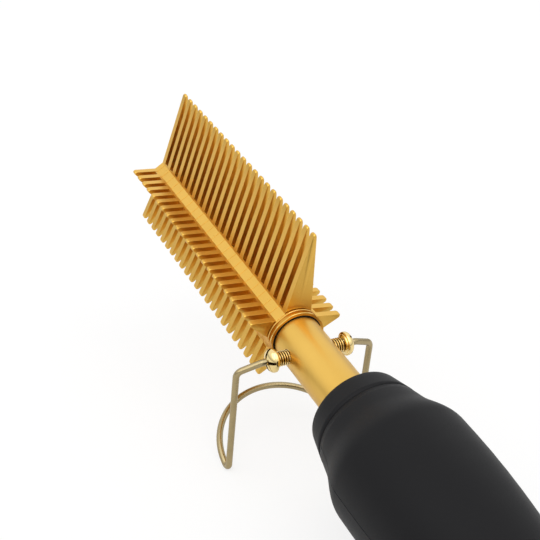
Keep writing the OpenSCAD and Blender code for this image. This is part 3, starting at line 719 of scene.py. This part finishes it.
def gets_painted_shade(place):
    """Whether a place on a screw lies in a slot, in the wire's hole or at the thread's root, where
    dark gold is painted as shade.
    """
    reach, z = place.xy.length, place.z
    dome = SCREW_SEAT + HEAD_RIM_H + DOME_H * math.sqrt(max(0.0, 1.0 - (reach / HEAD_R) ** 2))
    in_head = SCREW_SEAT + 0.35 < z < dome - 0.15 and reach < HEAD_R - 0.03
    at_root = z < COLLAR_Z - 0.05 and reach < SCREW_R - 0.2
    return in_head or at_root


def build_screw(node, side):
    head = put(node + "_head", Shell().run(screw_loops()).into(node + "_turned"))
    cutters = [slot_blade(node + "_blade", turn) for turn in SLOT_TURNS]
    for cutter in cutters:
        cut = head.modifiers.new("slot", "BOOLEAN")
        cut.operation, cut.solver, cut.object = "DIFFERENCE", "EXACT", cutter
    bpy.context.view_layer.update()
    mesh = evaluated_copy(node + "_form", head)
    for cutter in cutters:
        bpy.data.objects.remove(cutter)
    mesh.materials.clear()
    # Faces in the slots, the wire's hole and the thread's roots take the dark gold: painted shade.
    for face in mesh.polygons:
        if gets_painted_shade(face.center):
            face.material_index = 1
    outwards = Matrix.Rotation(math.radians(-side * 90.0), 4, "X")
    mesh.transform(TO_ROOM @ Matrix.Translation(PIVOT) @ outwards)
    stand_for(node + "_dressed", mesh, node, 35.0, (PAINTED_SHADE_SCREW_GOLD,))


def rounded_path(points, radii, steps=10):
    """A line of points with its inner corners rounded."""
    path = [points[0]]
    for before, corner, after, radius in zip(points, points[1:], points[2:], radii):
        back, on = (before - corner).normalized(), (after - corner).normalized()
        half = back.angle(on) / 2
        centre = corner + (back + on).normalized() * radius / math.sin(half)
        start, end = corner + back * radius / math.tan(half), corner + on * radius / math.tan(half)
        first, last = start - centre, end - centre
        sweep = first.angle(last)
        for k in range(steps + 1):
            share = k / steps
            path.append(centre + (first * math.sin((1 - share) * sweep)
                                  + last * math.sin(share * sweep)) / math.sin(sweep))
    return path + [points[-1]]


def wire_mesh(name, path, radius):
    curve = bpy.data.curves.new(name, "CURVE")
    curve.dimensions = "3D"
    curve.bevel_depth = radius
    curve.bevel_resolution = 6
    curve.use_fill_caps = True
    spline = curve.splines.new("POLY")
    spline.points.add(len(path) - 1)
    for point, place in zip(spline.points, path):
        point.co = (*place, 1.0)
    rod = put(name, curve)
    bpy.context.view_layer.update()
    mesh = evaluated_copy(name, rod)
    form = bmesh.new()
    form.from_mesh(mesh)
    bmesh.ops.remove_doubles(form, verts=form.verts[:], dist=1e-4)
    bmesh.ops.recalc_face_normals(form, faces=form.faces[:])
    form.to_mesh(mesh)
    form.free()
    return mesh


def build_stand():
    foot_axis_z = PIVOT.z - LEG_DROP + FOOT_R
    half_turn = (math.pi / 2 + LOOP_RISE) / 2
    foot_corner = Vector((LEG_X, LEG_Y, foot_axis_z - FOOT_R * math.tan(half_turn)))
    along = Vector((math.cos(LOOP_RISE), 0.0, math.sin(LOOP_RISE)))
    loop_start = foot_corner + along * (FOOT_R * math.tan(half_turn) + LOOP_STRAIGHT)
    side = rounded_path([Vector((PIVOT.x, WIRE_END, PIVOT.z)),
                         Vector((PIVOT.x, ARM_REACH, PIVOT.z)),
                         Vector((LEG_X, LEG_Y, ELBOW_Z)), foot_corner, loop_start],
                        (ELBOW_R, ELBOW_R, FOOT_R))
    centre = Vector((loop_start.x, 0.0, loop_start.z))
    loop = [centre + LEG_Y * (along * math.sin(angle) + Vector((0, math.cos(angle), 0)))
            for angle in (math.pi * k / LOOP_STEPS for k in range(1, LOOP_STEPS))]
    path = side + loop + [Vector((p.x, -p.y, p.z)) for p in reversed(side)]
    mesh = wire_mesh("stand_wire_form", path, WIRE_R)
    mesh.transform(TO_ROOM)
    stand_for("stand_wire_dressed", mesh, "stand_wire", 40.0)


# ---------------------------------------------------------------- controls
def bar(shell, x, y, half_x, half_y, low, high):
    shell.run([rectangle(x, y, half_x, half_y, z) for z in (low, high)])


def arc_band(shell, radius, half_width, first, last, low, high):
    """A flat band bent round the middle, from angle first to last in degrees."""
    steps = 28
    angles = [math.radians(first + (last - first) * k / steps) for k in range(steps + 1)]
    inner, outer = radius - half_width, radius + half_width
    shell.run([[Vector((reach * math.cos(a), reach * math.sin(a), z)) for reach, z in
                ((inner, low), (outer, low), (outer, high), (inner, high))] for a in angles])


def build_button(node, place):
    top = BUTTON_PROUD
    profile = [(BUTTON_R, top - 1.6), (BUTTON_R, top - 0.42), (BUTTON_R - 0.07, top - 0.2),
               (BUTTON_R - 0.22, top - 0.07), (BUTTON_R - 0.45, top), (BUTTON_R - 0.75, top - 0.03),
               (BUTTON_R - 1.3, top - 0.14), (BUTTON_R - 2.2, top - 0.2), (0.6, top - 0.22)]
    stem = [(STEM_R, STEM_FOOT), (STEM_R, top - 1.6)]
    shell = Shell()
    shell.run([circle_z(z, radius, BUTTON_STEPS) for radius, z in stem + profile])
    body_faces = len(shell.mesh.faces)
    low, high = top - 0.4, top - 0.1
    if node == "power_button":
        arc_band(shell, POWER_R, POWER_HALF_W, POWER_OPENING, 360.0 - POWER_OPENING, low, high)
        bar(shell, POWER_BAR, 0.0, POWER_BAR_HALF, POWER_HALF_W, low, high)
    else:
        bar(shell, 0.0, 0.0, SIGN_HALF_W, SIGN_REACH, low, high)
        if node == "plus_button":
            bar(shell, 0.0, 0.0, SIGN_REACH, SIGN_HALF_W, low, high + 0.003)
    for face in list(shell.mesh.faces)[body_faces:]:
        face.material_index = 1
    seat = PANEL_TO_ROOM @ Matrix.Translation((place * BUTTON_PITCH, 0.0, 0.0))
    mesh = shell.into(node + "_form", seat)
    stand_for(node + "_dressed", mesh, node, 35.0, (PRINT_WHITE,))


# ---------------------------------------------------------------- cord gland
def gland_profile():
    """Radius and place of the gland's outline, round from its front end to its mouth and back."""
    start, end, collar_r = GLAND_START, GLAND_END, GLAND_SHAFT_R - 0.6
    profile = [(GLAND_BORE_R, -GLAND_FRONT), (collar_r, -GLAND_FRONT), (collar_r, -GLAND_CLIP),
               (GLAND_SHAFT_R, -GLAND_CLIP), (GLAND_SHAFT_R, -start), (GRIP_ROOT_R - 0.3, -start),
               (GRIP_ROOT_R - 0.08, -start - 0.1), (GRIP_ROOT_R, -start - 0.3),
               (GRIP_ROOT_R, -start - GRIP_LEN)]
    for k in range(1, GLAND_GROOVES + 1):
        along = k * GLAND_GROOVE_PITCH
        x = -(start + GRIP_LEN + along)
        swell = math.sqrt(max(0.0, 1.0 - (along / GLAND_NOSE_LEN) ** 2))
        reach = GLAND_MOUTH_R + GLAND_SWELL * swell
        floor = reach - GLAND_GROOVE_DEPTH
        profile += [(reach, x + 0.35), (floor, x + 0.25), (floor, x - 0.15), (reach, x - 0.3)]
    return profile + [(6.9, 0.7 - end), (6.6, 0.25 - end), (6.2, -end), (GLAND_BORE_R + 0.5, -end),
                      (GLAND_BORE_R + 0.1, 0.15 - end), (GLAND_BORE_R, 0.5 - end)]


def grip_rib():
    half, root = 0.34, GRIP_ROOT_R - 0.3
    ends = ((0.1, GLAND_FLANGE_R - 0.2), (0.25, GLAND_FLANGE_R - 0.02),
            (1.45, GLAND_FLANGE_R - 0.02), (1.6, GLAND_FLANGE_R - 0.2))
    return Shell().run([[Vector((-GLAND_START - along, y, z)) for y, z in
                         ((-half, root), (half, root), (half, top - 0.16), (0.18, top),
                          (-0.18, top), (-half, top - 0.16))] for along, top in ends])


def build_gland():
    """The gland, with grooves towards its mouth and grip ribs round its flange."""
    loops = [circle_x(x, radius, GLAND_STEPS) for radius, x in gland_profile()]
    nose = Shell().run(loops, closed=True).into("gland_nose")
    nose.materials.append(MATERIALS["gland_black"])
    mesh = repeated("gland_form", nose, grip_rib().into("gland_rib"), GRIP_RIBS, (0, 0, 0),
                    (0, 0, 0), (math.tau / GRIP_RIBS, 0, 0), MATERIALS["gland_black"])
    mesh.transform(TO_ROOM)
    stand_for("swivel_gland_dressed", mesh, "swivel_gland")


build_comb_head()
build_seal()
build_screw("pivot_screw_left", 1)
build_screw("pivot_screw_right", -1)
build_stand()
for button_node, button_place in (("power_button", -1), ("minus_button", 0), ("plus_button", 1)):
    build_button(button_node, button_place)
build_gland()
for plain_node in ("barrel", "handle_collar", "handle_shell_upper", "handle_shell_lower",
                   "control_panel", "indicator_lens", "comb_end_plug", "shell_screws"):
    dress_copy(plain_node)


# ---------------------------------------------------------------- camera
def in_room(direction):
    return (Matrix.Rotation(-REST_TILT, 3, "Y") @ direction).normalized()


def make_camera():
    data = bpy.data.cameras.new("main_camera")
    data.sensor_width = 36.0
    data.lens = CAMERA_LENS
    data.clip_start = 0.01
    data.clip_end = 20.0
    right, up = in_room(CAMERA_RIGHT), in_room(-CAMERA_DOWN)
    back = right.cross(up)
    place = TO_ROOM @ CAMERA_PLACE
    camera = bpy.data.objects.new("main_camera", data)
    turn = Matrix((right, up, back)).transposed().to_4x4()
    camera.matrix_world = Matrix.Translation(place) @ turn
    bpy.context.scene.collection.objects.link(camera)
    bpy.context.scene.camera = camera


make_camera()


# ---------------------------------------------------------------- room
def lay_floor():
    """A white floor that keeps the tool's shadow and is clear when seen from below."""
    mesh = bpy.data.meshes.new("floor")
    mesh.from_pydata(rectangle(0.0, 0.0, FLOOR_REACH, FLOOR_REACH, 0.0), [], [(0, 1, 2, 3)])
    floor = bpy.data.objects.new("floor", mesh)
    bpy.context.scene.collection.objects.link(floor)
    finish = Finish("floor_white", Roughness=0.9)
    finish.shader.inputs["Base Color"].default_value = (0.93, 0.93, 0.93, 1.0)
    finish.shader.inputs["Specular IOR Level"].default_value = 0.0
    path = finish.add("ShaderNodeLightPath")
    seen = finish.add("ShaderNodeMath", operation="MULTIPLY_ADD", use_clamp=True)
    finish.link(path.outputs["Is Glossy Ray"], seen.inputs[0])
    seen.inputs[1].default_value = FLOOR_MIRRORED
    finish.link(path.outputs["Is Camera Ray"], seen.inputs[2])
    share = finish.add("ShaderNodeMath", operation="MULTIPLY")
    share.inputs[1].default_value = FLOOR_SHARE
    finish.link(seen.outputs[0], share.inputs[0])
    paper = finish.add("ShaderNodeEmission")
    paper.inputs["Strength"].default_value = FLOOR_GLOW
    mix = finish.add("ShaderNodeMixShader")
    finish.link(share.outputs[0], mix.inputs["Fac"])
    finish.link(finish.shader.outputs[0], mix.inputs[1])
    finish.link(paper.outputs[0], mix.inputs[2])
    clear, either = finish.add("ShaderNodeBsdfTransparent"), finish.add("ShaderNodeMixShader")
    finish.link(finish.add("ShaderNodeNewGeometry").outputs["Backfacing"], either.inputs["Fac"])
    finish.link(mix.outputs[0], either.inputs[1])
    finish.link(clear.outputs[0], either.inputs[2])
    finish.link(either.outputs[0], finish.tree.nodes["Material Output"].inputs["Surface"])
    mesh.materials.append(finish.material)


def light_room():
    """A white room, plain white to the camera, whose light fades a little towards the horizon."""
    world = bpy.data.worlds.new("studio")
    bpy.context.scene.world = world
    world.use_nodes = True
    nodes, links = world.node_tree.nodes, world.node_tree.links
    nodes.clear()

    def backing():
        node = nodes.new("ShaderNodeBackground")
        node.inputs["Color"].default_value = (1.0, 1.0, 1.0, 1.0)
        return node

    def graded(low, high):
        grade = nodes.new("ShaderNodeMapRange")
        for name, value in (("From Min", 0.0), ("From Max", ROOM_FADE), ("To Min", low),
                            ("To Max", high)):
            grade.inputs[name].default_value = value
        links.new(apart.outputs["Z"], grade.inputs["Value"])
        node = backing()
        links.new(grade.outputs["Result"], node.inputs["Strength"])
        return node

    def either(switch, off, on):
        mix = nodes.new("ShaderNodeMixShader")
        links.new(switch, mix.inputs["Fac"])
        links.new(off.outputs[0], mix.inputs[1])
        links.new(on.outputs[0], mix.inputs[2])
        return mix

    way = nodes.new("ShaderNodeTexCoord")
    apart = nodes.new("ShaderNodeSeparateXYZ")
    links.new(way.outputs["Generated"], apart.inputs[0])
    path = nodes.new("ShaderNodeLightPath")
    mirrored = either(path.outputs["Is Glossy Ray"], graded(*ROOM_LIGHT), graded(*MIRRORED_LIGHT))
    shown = either(path.outputs["Is Camera Ray"], mirrored, backing())
    out = nodes.new("ShaderNodeOutputWorld")
    links.new(shown.outputs[0], out.inputs["Surface"])


def hang_sun(name, direction, strength, spread):
    data = bpy.data.lights.new(name, "SUN")
    data.energy = strength
    data.angle = math.radians(spread)
    lamp = bpy.data.objects.new(name, data)
    lamp.rotation_mode = "QUATERNION"
    lamp.rotation_quaternion = Vector(direction).normalized().to_track_quat("Z", "Y")
    bpy.context.scene.collection.objects.link(lamp)


bpy.context.scene.view_settings.view_transform = "Standard"
lay_floor()
light_room()
hang_sun("left_light", (-0.27, 0.553, 0.788), strength=0.75, spread=60)
hang_sun("right_light", (-0.48, -0.095, 0.872), strength=0.70, spread=60)
